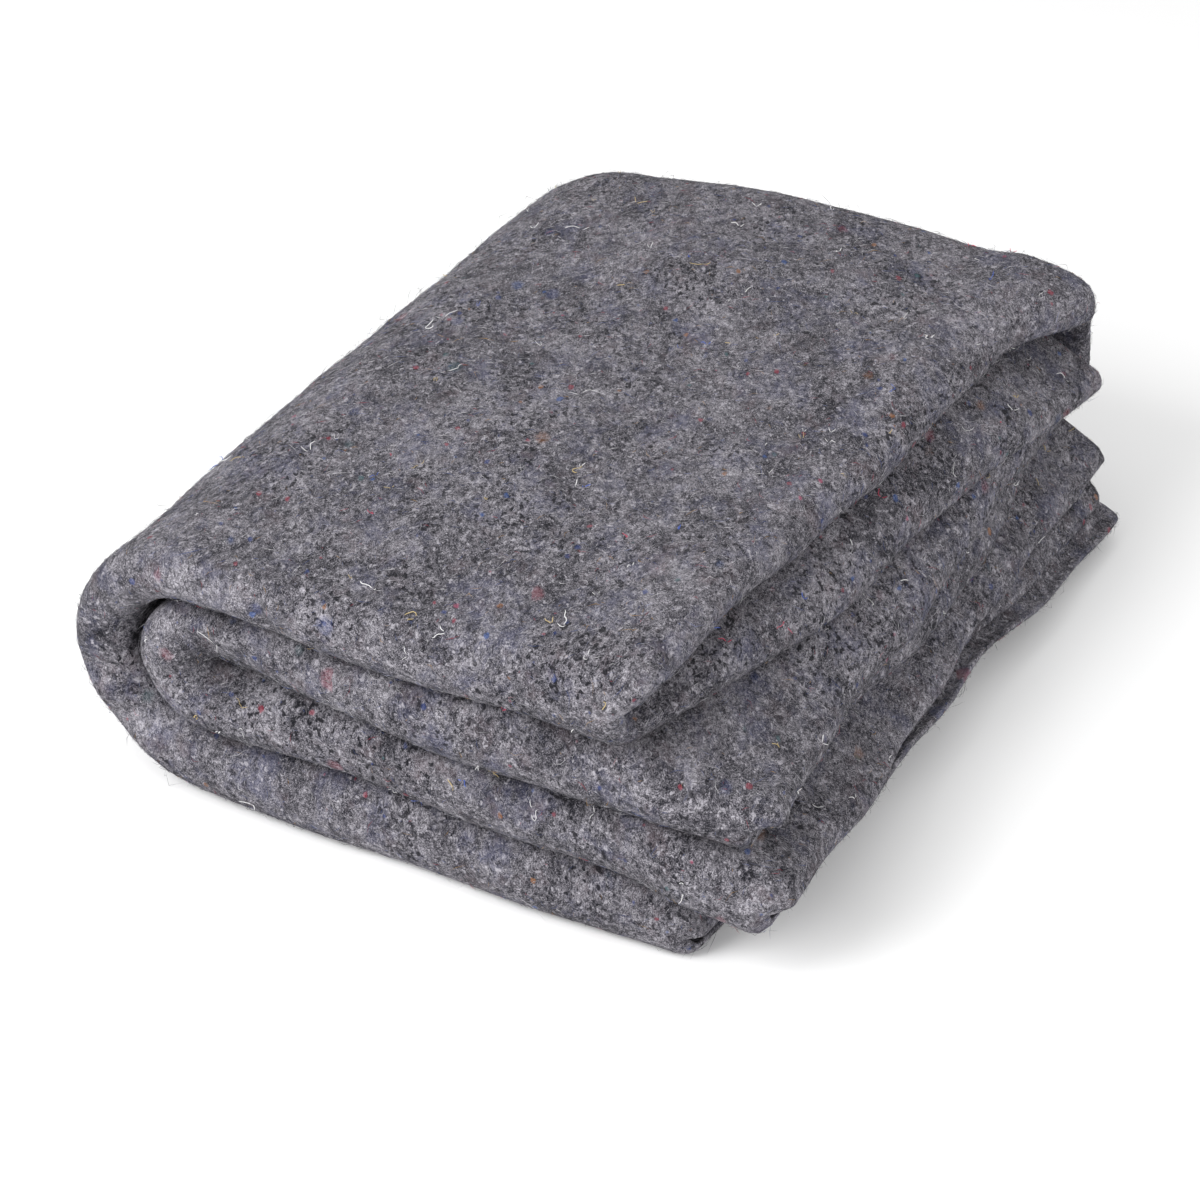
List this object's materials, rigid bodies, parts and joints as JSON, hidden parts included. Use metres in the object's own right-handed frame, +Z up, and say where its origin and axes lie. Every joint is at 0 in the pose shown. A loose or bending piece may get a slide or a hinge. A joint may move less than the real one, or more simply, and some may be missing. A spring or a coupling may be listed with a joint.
{
  "type": "moving blanket",
  "caption": "Folded grey recycled-felt moving blanket lying as a soft stack, with rounded folds on two sides and stepped edges on the other two.",
  "frame": {"origin": "middle of the stack's footprint, on the surface it lies on", "axes": "+Y along the stack's longer side, away from the four front folds; +X from the large rounded fold towards the stepped edges; +Z up through the layers"},
  "size_m": [0.4006, 0.5504, 0.1534],
  "materials": {
    "felt": "matte needled felt with coloured fibre flecks"
  },
  "bodies": {
    "root": {"felt_blanket": "felt"}
  },
  "joints": []
}
